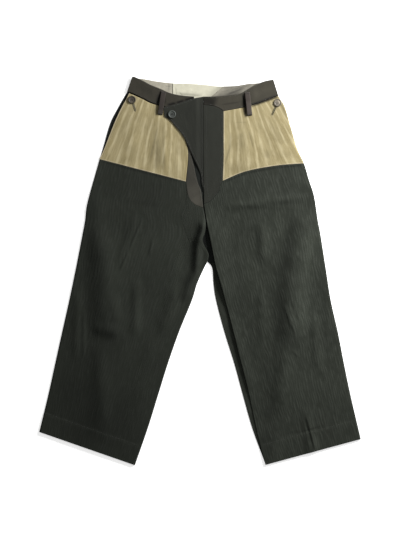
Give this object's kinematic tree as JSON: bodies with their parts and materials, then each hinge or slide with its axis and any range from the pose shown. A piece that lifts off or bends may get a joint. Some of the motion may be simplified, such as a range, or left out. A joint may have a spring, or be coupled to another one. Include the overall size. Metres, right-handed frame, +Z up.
{
  "type": "trousers",
  "caption": "Wide cropped trousers in dark ribbed cloth with khaki striped hip panels, a curved buttoned fly flap and belt loops, laid flat with the front up.",
  "frame": {"origin": "middle of the outline, on the surface that the trousers lie on", "axes": "+Z up out of the front, the shortest way; +Y towards the waist, the longest way; +X to the right of someone who looks down on the front"},
  "size_m": [0.7716, 0.9303, 0.0165],
  "materials": {
    "ribbed_cloth": "dark charcoal olive, lengthwise broken ribs, soft sheen",
    "striped_cloth": "khaki with soft tonal stripes",
    "twill": "plain dark twill",
    "band_twill": "plain brownish dark twill",
    "underlap_twill": "grey-brown twill, smooth",
    "lining_cream": "cream cotton",
    "lining_grey": "greyish cotton with fine stripes",
    "button_metal": "dull grey metal with a worn rim"
  },
  "bodies": {
    "root": {"front_leg_left": "ribbed_cloth", "front_leg_right": "ribbed_cloth", "back_leg_left": "ribbed_cloth", "back_leg_right": "ribbed_cloth", "hip_panel_left": "striped_cloth", "hip_panel_right": "striped_cloth", "waistband_front_left": "band_twill", "waistband_front_right": "band_twill", "waistband_back": "band_twill", "waistband_lining_left": "lining_grey", "waistband_lining_centre": "lining_cream", "waistband_lining_right": "lining_grey", "fly_flap": "twill", "fly_placket": "twill", "fly_underlap": "underlap_twill", "belt_loop_front_left": "band_twill", "belt_loop_front_right": "band_twill", "belt_loop_back_left": "band_twill", "belt_loop_back_centre": "band_twill", "belt_loop_back_right": "band_twill", "button_fly": "button_metal", "button_side_left": "button_metal", "button_side_right": "button_metal"}
  },
  "joints": []
}
